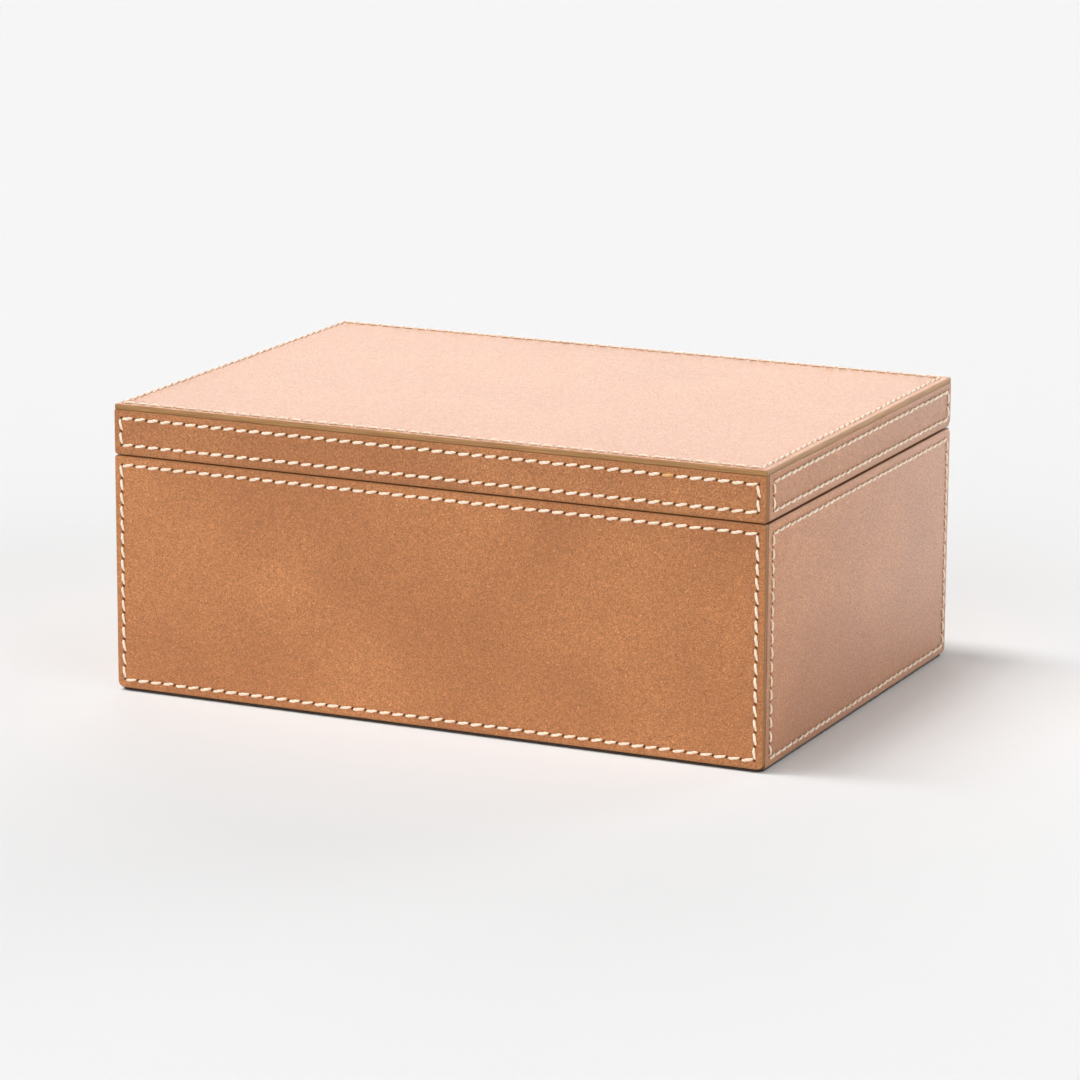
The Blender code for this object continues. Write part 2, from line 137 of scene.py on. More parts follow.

# Felt sole, near black and drawn out almost to the leather's face so that it also stands in for the
# shade of the gap under the box, partly painted shade: half its width and depth, and the inset and
# height of each ring of its profile
FELT_HALF = (0.1246, 0.0886)
FELT_CORNER = 0.0032
FELT_CORNER_POINTS = 6
FELT_SPACING = 0.0012
FELT_RAGGED = 0.00016
FELT_RAGGED_RATE = 8.0
FELT_SEED = 7
FELT_PROFILE = (
    (0.00050, 0.0), (0.00012, 0.00010), (0.0, 0.00045), (0.00012, 0.00078), (0.00050, 0.00085),
    (0.00400, 0.00085), (0.00410, 0.00130))

# Thread
THREAD_SEED = 100
THREAD_HALF_WIDTH = 0.00057
THREAD_HALF_HEIGHT = 0.00038
THREAD_SIDES = 12
THREAD_STRANDS = 2
THREAD_STRAND_DEPTH = 0.13
THREAD_TWISTS = 1.30
THREAD_SLANT = 0.00029
THREAD_BOW = 0.00006
THREAD_END_SHARE = 0.24
THREAD_SHEAR = 0.45
STITCH_JITTER = 0.00006
# The line of a stitch at either end: distance from the hole and height over the leather
THREAD_DIVE = (
    (0.00058, -0.00085), (0.00062, -0.00052), (0.00071, -0.00029), (0.00094, -0.00006),
    (0.00132, 0.00008), (0.00182, 0.00016))
# Shares of a stitch's length at its middle points, and their height
THREAD_MIDDLE = (0.38, 0.5, 0.62)
THREAD_MIDDLE_HEIGHT = 0.00019
# The shares of its length between which a stitch swells, and the power of that curve
THREAD_SWELL = (0.06, 0.94)
THREAD_SWELL_POWER = 0.75
# Least and greatest share of a stitch's slant, bow and thickness, and least and greatest tone
SLANT_SHARES = (0.6, 1.4)
BOW_SHARES = (-0.6, 1.6)
THICKNESS_SHARES = (0.93, 1.07)
STITCH_TONES = (0.0, 0.6)
# The amber stitch in the lid's front, counted from 0 at the left of the upper row, and its tone
TINTED_STITCH = 41
TINTED_TONE = 2.0

# Colours, as linear values
TAN_DEEP = (0.330, 0.115, 0.031)
TAN_DARK = (0.405, 0.146, 0.042)
TAN_LIGHT = (0.660, 0.275, 0.094)
TAN_PALE = (0.705, 0.330, 0.140)
TAN_PAINTED_SHEEN = (0.640, 0.400, 0.300)
# Painted shade in the slits of the stitches
HOLE_SHADE_BROWN = (0.150, 0.062, 0.020)
# Painted shade in the seams and at the parting
SEAM_SHADE_BROWN = (0.230, 0.088, 0.024)
OLIVE_DARK = (0.260, 0.128, 0.044)
OLIVE_LIGHT = (0.455, 0.240, 0.094)
THREAD_CREAM = (1.00, 0.87, 0.70)
THREAD_AMBER = (0.75, 0.40, 0.13)
THREAD_TONE_AND_SHADE = (0.70, 0.50, 0.31)
SUEDE_DARK = (0.260, 0.140, 0.075)
SUEDE_LIGHT = (0.400, 0.240, 0.140)
FELT_DARK = (0.024, 0.013, 0.007)
FELT_LIGHT = (0.080, 0.045, 0.024)
BOARD_DARK = (0.42, 0.28, 0.16)
BOARD_LIGHT = (0.62, 0.46, 0.29)
BRASS_DARK = (0.52, 0.34, 0.12)
BRASS_LIGHT = (0.78, 0.58, 0.26)

# Each leather's clouds; its painted sheen, paler and whiter, at its right end; its tone at the left
# and right, painted light that makes the top and the front's left brighter; the painted shade that
# darkens its foot; and how strong its grain is
LEATHER_LOOK_AND_PAINTED_LIGHT = {
    "base_front": (0.95, 0.0, 1.30, 1.18, 0.0, 0.31),
    "base_back": (0.95, 0.0, 1.18, 1.18, 0.0, 0.31),
    "base_right": (1.60, 0.56, 1.23, 1.36, 0.65, 0.38),
    "base_left": (0.95, 0.0, 1.15, 1.15, 0.0, 0.31),
    "lid_front": (0.80, 0.0, 1.21, 1.13, 0.0, 0.31),
    "lid_back": (0.80, 0.0, 1.18, 1.18, 0.0, 0.31),
    "lid_right": (0.80, 0.36, 1.12, 1.09, 0.0, 0.38),
    "lid_left": (0.80, 0.0, 1.15, 1.15, 0.0, 0.31),
    "lid_top": (0.30, 0.0, 1.39, 1.38, 0.0, 0.16),
}
# Lengths in millimetres over which the painted light goes from left to right, a side takes its
# painted sheen and the painted shade of a foot fades out
LEATHER_SPAN = 250.0
SIDE_SPAN = 176.0
SHADED_HEIGHT = 40.0
# Relief in millimetres: the least, and what a grain of full strength adds
BUMP_BASE = 0.025
BUMP_GRAIN = 0.30
# How far each leather's pattern lies from the one before, in millimetres
HIDE_SHIFT = (137.0, 71.0, 29.0)
# Sizes of the leather's marks, in millimetres
CLOUD_SIZE = 60.0
BLOTCH_SIZE = 9.0
MOTTLE_SIZE = 2.2
FIBRE_SIZE = 0.38
GRAIN_SIZE = 0.74
CREASE_SIZE = 1.05
CREASE_WARP_SIZE = 0.9
WRINKLE_SIZE = 1.05
PORE_SIZE = 0.85
PORE_PATCH_SIZE = 3.0
# Shares of pale or dark tan that the marks mix in; the dark of creases, wrinkles and pores is
# partly the grain's own colour and partly painted shade in those hollows
BLOTCH_DARK = 0.30
MOTTLE_DARK = 0.40
MOTTLE_PALE = 0.24
FIBRE_PALE = 0.45
FIBRE_DARK = 0.95
CREASE_DARK = 0.45
WRINKLE_DARK = 0.40
PORE_DARK = 0.50
# The burnished edge: its streaks, fine through the leather and long along it, and its other marks
EDGE_STREAKS = (0.05, 0.05, 2.6)
EDGE_RAGGED_SIZE = 1.2
EDGE_CLOUD_SIZE = 2.0
EDGE_WAX_SIZE = 0.5
# Sizes or stretches of the other materials' marks
THREAD_FUZZ_SIZE = 0.35
THREAD_HAIR_SIZE = 0.12
SUEDE_PATCH_SIZE = 16.0
SUEDE_NAP_SIZE = 0.45
FELT_CLUMP_SIZE = 1.6
FELT_HAIR_SIZE = 0.5
FELT_HAIRS = (1.0, 4.0, 1.0)
BOARD_GRAIN = (0.06, 0.06, 1.4)
BOARD_FLECKS = (0.3, 0.3, 6.0)
BRASS_BRUSHED = (0.12, 5.0, 5.0)
BRASS_TARNISH_SIZE = 3.2

# Camera, fitted to the photograph
CAMERA_LENS = 158.37
CAMERA_SENSOR = 36.0
CAMERA_FAR_END = 200.0
CAMERA_PLACE = (0.70494799, -1.52294669, 0.44617497)
CAMERA_AZIMUTH = math.radians(24.8227)
CAMERA_ELEVATION = math.radians(13.3011)
CAMERA_ROLL = math.radians(0.3159)

# Studio
FLOOR_SIZE = 60.0
FLOOR_COLOUR = (0.81, 0.81, 0.81)
FLOOR_LIFT = 0.12
BACKGROUND = 0.896
SURROUND = 0.06
# The key, a long soft strip overhead: each lamp's lean to the left in degrees and its strength
KEY_STRIP = ((4, 0.10), (12, 0.27), (20, 0.18), (28, 0.10), (36, 0.08))
KEY_FORWARD = 6.5
KEY_WIDTH = 13
# Bearing from the front towards the right, height, strength and width of each other lamp, with
# the angles in degrees
LAMPS = (
    ("front", -13, 14, 0.52, 60),
    ("fill", 72, 12, 0.42, 50),
    ("glow", -156, 14, 0.40, 40),
    ("rim", 156, 5, 0.62, 30),
)

# The u and v axes of a panel, by the way it faces
FACES = {
    "front": ((1, 0, 0), (0, 0, 1)),
    "back": ((-1, 0, 0), (0, 0, 1)),
    "right": ((0, 1, 0), (0, 0, 1)),
    "left": ((0, -1, 0), (0, 0, 1)),
    "top": ((1, 0, 0), (0, 1, 0)),
}


def smooth_step(low, high, values):
    """0 below low, 1 above high, and a smooth rise between them."""
    share = np.clip((values - low) / (high - low), 0.0, 1.0)
    return share * share * (3.0 - 2.0 * share)


def soft_least(first, second, softness):
    """The smaller of two values, with the crease between them rounded off."""
    share = np.clip(0.5 + 0.5 * (second - first) / softness, 0.0, 1.0)
    return second * (1.0 - share) + first * share - softness * share * (1.0 - share)


class Panel:
    """One flat piece of leather, placed by the box of the node that it stands for."""

    def __init__(self, node, facing, rows, counts, corners, closed, seam_shades, bevel=None, pockets=()):
        across, up = (np.array(axis, float) for axis in FACES[facing])
        self.axes = np.array((across, up, np.cross(across, up)))
        self.rounding = TOP_ROUNDING if facing == "top" else EDGE_ROUNDING
        ends = np.array([self.axes @ np.array(corner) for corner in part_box(node)])
        left, right, low, high = closed
        self.low, self.high = ends.min(0) - (left, low, 0.0), ends.max(0) + (right, high, 0.0)
        self.thickness = self.high[2] - self.low[2]
        # The rows stay in place when a side is drawn past the CAD's
        self.rows = tuple(row + more for row, more in zip(rows, closed))
        self.counts = counts
        self.corners = corners
        self.seam_shades = seam_shades
        self.bevel = bevel
        self.pockets = pockets

    def world(self, points):
        """Places of points given as u, v and the height over the panel's back."""
        return (points + np.array((0.0, 0.0, self.low[2]))) @ self.axes

    def row_box(self):
        """The rectangle of the stitch lines: left, right, low and high."""
        left, right, low, high = self.rows
        return self.low[0] + left, self.high[0] - right, self.low[1] + low, self.high[1] - high

    def row_holes(self):
        """Places of the holes along a level row, and of those up an upright one."""
        left, right, low, high = self.row_box()
        return np.linspace(left, right, self.counts[0] + 1), np.linspace(low, high, self.counts[1] + 1)

    def hole_places(self):
        """Every hole as (u, v, angle of its row)."""
        left, right, low, high = self.row_box()
        along, upward = self.row_holes()
        holes = [(u, v, 0.0) for v in (low, high) for u in along]
        return holes + [(u, v, math.pi / 2) for u in (left, right) for v in upward[1:-1]]

    def stitch_runs(self):
        """Every stitch as its two ends."""
        left, right, low, high = self.row_box()
        along, upward = self.row_holes()
        runs = [((a, v), (b, v)) for v in (high, low) for a, b in zip(along, along[1:])]
        return runs + [((u, a), (u, b)) for u in (left, right) for a, b in zip(upward, upward[1:])]


def side_marks(holes):
    """Places of a side's points clear of its corners: close together at each hole."""
    marks = [hole + offset for hole in holes for offset in HOLE_OFFSETS]
    marks += [(a + b) / 2 for a, b in zip(holes, holes[1:])]
    reach = BAND_OFFSETS[-1] + CORNER_MARGIN
    low, high = holes[0] + reach, holes[-1] - reach
    return np.array([low] + sorted(m for m in marks if low < m < high) + [high])


def side_points(start, end, marks):
    """A side's points from one corner's end to the next, the marks kept where they are."""
    shares = np.array(CORNER_SHARES)
    near = start + (marks[0] - start) * shares
    far = end - (end - marks[-1]) * shares[::-1]
    return np.concatenate((near, marks, far))


def corner_legs(corner, inset):
    """How far a corner's cut or rounding reaches along its two sides, at a ring's inset."""
    kind, along, upward = corner
    if kind == "round":
        left = max(along - inset, LEAST_CORNER)
        return left, left
    turn = math.atan2(upward, along)
    along -= (1.0 - math.tan(turn / 2)) * inset
    upward -= (1.0 - math.tan((math.pi / 2 - turn) / 2)) * inset
    return max(along, LEAST_CORNER), max(upward, LEAST_CORNER)


def corner_points(corner, place, inset, direction, rising):
    """Points round one corner, from its first side to its second, ends left out."""
    along, upward = corner_legs(corner, inset)
    share = np.linspace(0.0, 1.0, CORNER_POINTS + 2)[1:-1]
    if corner[0] == "round":
        near, far = 1.0 - np.sin(share * math.pi / 2), 1.0 - np.cos(share * math.pi / 2)
    else:
        near, far = 1.0 - share, share
    if rising:
        near, far = far, near
    across, up = direction
    return np.stack((place[0] + across * near * along, place[1] + up * far * upward), 1)


def ring_points(panel, insets, marks):
    """One closed ring of points at its own inset from each of the panel's four sides."""
    left, right, low, high = (
        panel.low[0] + insets[0], panel.high[0] - insets[1],
        panel.low[1] + insets[2], panel.high[1] - insets[3])
    depth = min(insets)
    low_left, low_right, high_right, high_left = panel.corners
    legs = [corner_legs(corner, depth) for corner in panel.corners]
    bottom = side_points(left + legs[0][0], right - legs[1][0], marks[0])
    rising = side_points(low + legs[1][1], high - legs[2][1], marks[1])
    top = side_points(left + legs[3][0], right - legs[2][0], marks[0])[::-1]
    falling = side_points(low + legs[0][1], high - legs[3][1], marks[1])[::-1]
    return np.concatenate((
        np.stack((bottom, np.full(len(bottom), low)), 1),
        corner_points(low_right, (right, low), depth, (-1, 1), False),
        np.stack((np.full(len(rising), right), rising), 1),
        corner_points(high_right, (right, high), depth, (-1, -1), True),
        np.stack((top, np.full(len(top), high)), 1),
        corner_points(high_left, (left, high), depth, (1, -1), False),
        np.stack((np.full(len(falling), left), falling), 1),
        corner_points(low_left, (left, low), depth, (1, 1), True)))


def ring_insets(panel):
    """The insets of every ring from the cut edge to the inner side of the stitch band."""
    rows = np.array(panel.rows)
    rounding = [np.full(4, share * panel.rounding) for share in ROUNDING_SHARES]
    band_start = rows + BAND_OFFSETS[0]
    lead = [panel.rounding + (band_start - panel.rounding) * share for share in LEAD_SHARES]
    band = [rows + offset for offset in BAND_OFFSETS]
    return rounding + lead + band


def rounded_height(panel, inset):
    """Height of the leather's face at a distance from its cut edge."""
    left = max(panel.rounding - inset, 0.0)
    return panel.thickness - panel.rounding + math.sqrt(max(panel.rounding ** 2 - left ** 2, 0.0))


def rim_distance(panel, v):
    """Distance from the edge that carries the stop bevel."""
    return panel.high[1] - v if panel.bevel == "high" else v - panel.low[1]


def lower_pockets(panel, ring):
    """Lets the rim dip where a hinge's barrel sits in it."""
    if not panel.pockets:
        return ring
    depth, reach, places = panel.pockets
    distance = rim_distance(panel, ring[:, 1])
    inside = np.zeros(len(ring), bool)
    for low, high in places:
        inside |= (ring[:, 0] > low) & (ring[:, 0] < high)
    share = np.clip(1.0 - distance / reach, 0.0, 1.0)
    shift = np.where(inside, depth * share, 0.0)
    ring = ring.copy()
    ring[:, 1] += -shift if panel.bevel == "high" else shift
    return ring


def ring_heights(panel, ring, inset):
    """Heights of a ring's points, lowered where the stop bevel is cut."""
    heights = np.full(len(ring), rounded_height(panel, inset))
    if panel.bevel:
        slope = (rim_distance(panel, ring[:, 1]) + AXIS_PAST_RIM) / math.tan(STOP_BEVEL_ANGLE)
        cut = panel.thickness - AXIS_INSET + slope
        heights = soft_least(heights, cut, BEVEL_SOFTNESS)
    return heights


def wave(points, seed):
    """A slow, shallow unevenness from -1 to 1, as of leather glued down by hand."""
    draw = np.random.default_rng(seed)
    total = np.zeros(len(points))
    for _ in range(WAVE_COUNT):
        angle, phase = draw.uniform(0.0, 2 * math.pi, 2)
        length = SURFACE_WAVE_LENGTH * draw.uniform(*WAVE_SHARES)
        along = points[:, 0] * math.cos(angle) + points[:, 1] * math.sin(angle)
        total += np.sin(along * 2 * math.pi / length + phase)
    return total / WAVE_COUNT


def hole_marks(panel, points, heights):
    """Sinks slits, puckers and the stitch groove, and returns how much painted shade of a slit each point
    has.
    """
    inside = np.zeros(len(points))
    for u, v, angle in panel.hole_places():
        near = np.nonzero((abs(points - (u, v)) < HOLE_REACH).all(1))[0]
        offset = points[near] - (u, v)
        direction = angle + SLIT_ANGLE
        along = offset @ (math.cos(direction), math.sin(direction)) / SLIT_HALF_LENGTH
        across = offset @ (-math.sin(direction), math.cos(direction)) / SLIT_HALF_WIDTH
        reach = np.hypot(along, across)
        heights[near] -= SLIT_DEPTH * (1.0 - smooth_step(*SLIT_WALL, reach))
        heights[near] -= PUCKER_DEPTH * np.exp(-((offset ** 2).sum(1)) / PUCKER_RADIUS ** 2)
        inside[near] = np.maximum(inside[near], 1.0 - smooth_step(*SLIT_LIP, reach))
    left, right, low, high = panel.row_box()
    u, v = points[:, 0], points[:, 1]
    beside = np.clip(np.maximum(left - u, u - right), 0.0, None)
    beyond = np.clip(np.maximum(low - v, v - high), 0.0, None)
    within = np.minimum(np.minimum(u - left, right - u), np.minimum(v - low, high - v))
    distance = np.where(within > 0, within, np.hypot(beside, beyond))
    heights -= GROOVE_DEPTH * np.exp(-(distance / GROOVE_HALF_WIDTH) ** 2)
    return inside


def seam_shade_marks(panel, points, heights):
    """How dark each point is with a seam's painted shade, at shaded sides and the leather's back."""
    u, v = points[:, 0], points[:, 1]
    inside = np.zeros(len(points))
    distances = (u - panel.low[0], panel.high[0] - u, v - panel.low[1], panel.high[1] - v)
    for darkness, distance in zip(panel.seam_shades, distances):
        inside = np.maximum(inside, darkness * (1.0 - smooth_step(*SEAM_REACH, distance)))
    return np.maximum(inside, 1.0 - smooth_step(0.0, BACK_SHADE, heights))


def fill_face(ring):
    """Points and triangles that close a face inside its innermost ring."""
    low, high = ring.min(0) + FILL_MARGIN, ring.max(0) - FILL_MARGIN
    grid = []
    if (high > low).all():
        counts = [max(int((b - a) / FILL_SPACING), 1) for a, b in zip(low, high)]
        along, upward = (np.linspace(a, b, count + 1) for a, b, count in zip(low, high, counts))
        grid = [(u, v) for u in along for v in upward]
    verts = [Vector(p) / MM for p in ring] + [Vector(p) / MM for p in grid]
    count = len(ring)
    loop = [(i, (i + 1) % count) for i in range(count)]
    _, _, faces, origins, _, _ = delaunay_2d_cdt(verts, loop, [], 1, FILL_TOLERANCE)
    where = [origin[0] for origin in origins]
    return np.array(grid).reshape(-1, 2), [[where[i] for i in face] for face in faces]


def ring_faces(size, count):
    """Faces that join a number of rings of points, one after the other."""
    faces = []
    for start in range(0, (count - 1) * size, size):
        end = start + size
        faces += [(start + i, start + (i + 1) % size, end + (i + 1) % size, end + i) for i in range(size)]
    return faces


def mesh_object(name, points, faces):
    """A new object from an array of points and a list of faces."""
    mesh = bpy.data.meshes.new(name)
    mesh.from_pydata([tuple(p) for p in points], [], [tuple(int(i) for i in f) for f in faces])
    mesh.update()
    piece = bpy.data.objects.new(name, mesh)
    bpy.context.scene.collection.objects.link(piece)
    return piece


def give_attribute(piece, name, values):
    """Stores one number, or one vector, a point for the materials to read."""
    values = np.asarray(values, np.float32)
    if values.ndim == 1:
        piece.data.attributes.new(name, "FLOAT", "POINT").data.foreach_set("value", values)
    else:
        piece.data.attributes.new(name, "FLOAT_VECTOR", "POINT").data.foreach_set("vector", values.ravel())


def shade(piece, sharp_angle):
    """Smooth shading with creases at the sharp edges."""
    piece.data.polygons.foreach_set("use_smooth", [True] * len(piece.data.polygons))
    piece.data.set_sharp_from_angle(angle=math.radians(sharp_angle))


def edge_shares(panel, heights, inset):
    """How far each point of a ring belongs to the burnished cut edge or the stop bevel."""
    start, end = (share * panel.rounding for share in BURNISH_FADE)
    edge = 1.0 - smooth_step(start, end, np.full(len(heights), inset))
    if panel.bevel:
        edge = np.maximum(edge, smooth_step(0.0, BURNISHED_BEVEL, panel.thickness - heights))
    return edge


def leather_rings(panel):
    """The rings from a leather's back over its cut edge: points, heights and burnish."""
    marks = [side_marks(holes) for holes in panel.row_holes()]
    insets = ring_insets(panel)
    back = lower_pockets(panel, ring_points(panel, np.full(4, BACK_ARRIS), marks))
    wall = lower_pockets(panel, ring_points(panel, insets[0], marks))
    rings = [back, wall, wall]
    heights = [np.full(len(wall), height) for height in (0.0, BACK_ARRIS, BACK_SHADE)]
    edges = [np.ones(len(wall))] * BACK_RINGS
    for inset in insets:
        ring = lower_pockets(panel, ring_points(panel, inset, marks))
        rings.append(ring)
        heights.append(ring_heights(panel, ring, min(inset)))
        edges.append(edge_shares(panel, heights[-1], min(inset)))
    return rings, heights, edges


def leather_piece(name, panel, seed, materials):
    """The leather of one panel, from its back over its cut edge to the middle of its face."""
    rings, heights, edges = leather_rings(panel)
    size = len(rings[0])
    grid, fill = fill_face(rings[-1])
    flat = np.concatenate(rings + [grid])
    height = np.concatenate(heights + [np.full(len(grid), panel.thickness)])
    edge = np.concatenate(edges + [np.zeros(len(grid))])
    on_face = np.arange(len(flat)) >= BACK_RINGS * size
    face_heights = height[on_face]
    slit = np.zeros(len(flat))
    slit[on_face] = hole_marks(panel, flat[on_face], face_heights)
    face_heights += SURFACE_WAVE * (wave(flat[on_face], seed) - 1.0) * (1.0 - edge[on_face])
    height[on_face] = face_heights
    last = (len(rings) - 1) * size
    faces = [list(range(size))[::-1]] + ring_faces(size, len(rings))
    faces += [[last + i for i in face] for face in fill]
    piece = mesh_object(name, panel.world(np.column_stack((flat, height))), faces)
    shade(piece, LEATHER_CREASE)
    seam = seam_shade_marks(panel, flat, height)
    place = np.column_stack((flat - panel.low[:2], height)) / MM
    for attribute, values in (("slit", slit), ("cut_edge", edge), ("seam", seam), ("place", place)):
        give_attribute(piece, attribute, values)
    # Burnish, with the painted shade of seams and slits
    burnish_and_shade = np.maximum(np.maximum(edge, seam), slit)
    share = np.array([burnish_and_shade[list(face)].mean() for face in faces])
    for material in materials:
        piece.data.materials.append(material)
    piece.data.polygons.foreach_set("material_index", (share > BURNISHED_FROM).astype(np.int32))
    return piece


def thread_line(length):
    """Places along a stitch and heights over the leather, from one hole to the next."""
    near = list(THREAD_DIVE)
    middle = [(length * share, THREAD_MIDDLE_HEIGHT) for share in THREAD_MIDDLE]
    far = [(length - along, height) for along, height in reversed(near)]
    return np.array(near + middle + far)


def stitch_mesh(start, end, draw):
    """Points, faces and strand angles of one twisted stitch, in its panel's plane."""
    start = np.array(start) + draw.normal(0.0, STITCH_JITTER, 2)
    end = np.array(end) + draw.normal(0.0, STITCH_JITTER, 2)
    length = np.linalg.norm(end - start)
    forward = (end - start) / length
    aside = np.array((-forward[1], forward[0]))
    line = thread_line(length)
    share = line[:, 0] / length
    slant = THREAD_SLANT * draw.uniform(*SLANT_SHARES)
    bow = THREAD_BOW * draw.uniform(*BOW_SHARES)
    side = slant * np.sin((share - 0.5) * math.pi) - bow * np.sin(share * math.pi)
    lean = np.arctan(np.gradient(line[:, 1], line[:, 0]))
    fullness = np.sin(np.clip(share, *THREAD_SWELL) * math.pi) ** THREAD_SWELL_POWER
    swell = (THREAD_END_SHARE + (1.0 - THREAD_END_SHARE) * fullness) * draw.uniform(*THICKNESS_SHARES)
    shear = THREAD_SHEAR / math.tan(SLIT_ANGLE)
    phase = draw.uniform(0.0, 2 * math.pi)
    turn = np.linspace(0.0, 2 * math.pi, THREAD_SIDES, endpoint=False)
    strand = THREAD_STRANDS * (turn - share[:, None] * THREAD_TWISTS * 2 * math.pi) - phase
    rings = []
    for k, (along, height) in enumerate(line):
        lobes = 1.0 + THREAD_STRAND_DEPTH * np.cos(strand[k])
        width = THREAD_HALF_WIDTH * swell[k] * np.cos(turn) * lobes
        rise = THREAD_HALF_HEIGHT * swell[k] * np.sin(turn) * lobes
        reach = along + width * shear - rise * math.sin(lean[k])
        flat = start + np.outer(reach, forward) + np.outer(side[k] + width, aside)
        rings.append(np.column_stack((flat, height + rise * math.cos(lean[k]))))
    points = np.concatenate(rings)
    faces = [list(range(THREAD_SIDES))]
    faces += [(b, a, d, c) for a, b, c, d in ring_faces(THREAD_SIDES, len(line))]
    faces.append([len(points) - 1 - i for i in range(THREAD_SIDES)])
    return points, faces, strand.ravel()


def thread_piece(name, panel, seed, tinted=None):
    """All the stitches of one panel as one piece of thread."""
    draw = np.random.default_rng(seed)
    points, faces, tones, strands, count = [], [], [], [], 0
    for index, (start, end) in enumerate(panel.stitch_runs()):
        stitch, stitch_faces, strand = stitch_mesh(start, end, draw)
        tone = draw.uniform(*STITCH_TONES)
        if index == tinted:
            tone = TINTED_TONE
        points.append(stitch + (0.0, 0.0, panel.thickness))
        faces += [[i + count for i in face] for face in stitch_faces]
        tones.append(np.full(len(stitch), tone))
        strands.append(strand)
        count += len(stitch)
    piece = mesh_object(name, panel.world(np.concatenate(points)), faces)
    shade(piece, THREAD_CREASE)
    give_attribute(piece, "tone", np.concatenate(tones))
    give_attribute(piece, "strand", np.cos(np.concatenate(strands)))
    return piece


def rounded_rectangle(half_width, half_depth, radius):
    """Points round a rectangle with rounded corners, from its right side anticlockwise."""
    points = []
    for quarter, (side_x, side_y) in enumerate(((1, -1), (1, 1), (-1, 1), (-1, -1))):
        centre = np.array((side_x * (half_width - radius), side_y * (half_depth - radius)))
        turn = np.radians(np.linspace(0.0, 90.0, FELT_CORNER_POINTS) + (quarter - 1) * 90.0)
        points.append(centre + radius * np.column_stack((np.cos(turn), np.sin(turn))))
    corners = np.concatenate(points)
    ring = []
    for start, end in zip(corners, np.roll(corners, -1, 0)):
        steps = max(int(np.linalg.norm(end - start) / FELT_SPACING), 1)
        ring += [start + (end - start) * step / steps for step in range(steps)]
    return np.array(ring)


def felt_piece(name):
    """The felt sole: a soft, slightly ragged edge that shows as a dark line under the leather, partly
    painted shade of the gap there.
    """
    half_width, half_depth = FELT_HALF
    outline = rounded_rectangle(half_width, half_depth, FELT_CORNER)
    middle = np.array((half_width, half_depth))
    ragged = 1.0 + wave(outline * FELT_RAGGED_RATE, FELT_SEED)
    points, size = [], len(outline)
    for inset, height in FELT_PROFILE:
        ring = outline * (1.0 - (inset + FELT_RAGGED * ragged[:, None]) / middle)
        points.append(np.column_stack((ring, np.full(size, height))))
    last = (len(FELT_PROFILE) - 1) * size
    faces = [list(range(size))[::-1]] + ring_faces(size, len(FELT_PROFILE))
    faces.append([last + i for i in range(size)])
    piece = mesh_object(name, np.concatenate(points), faces)
    shade(piece, FELT_CREASE)
    return piece


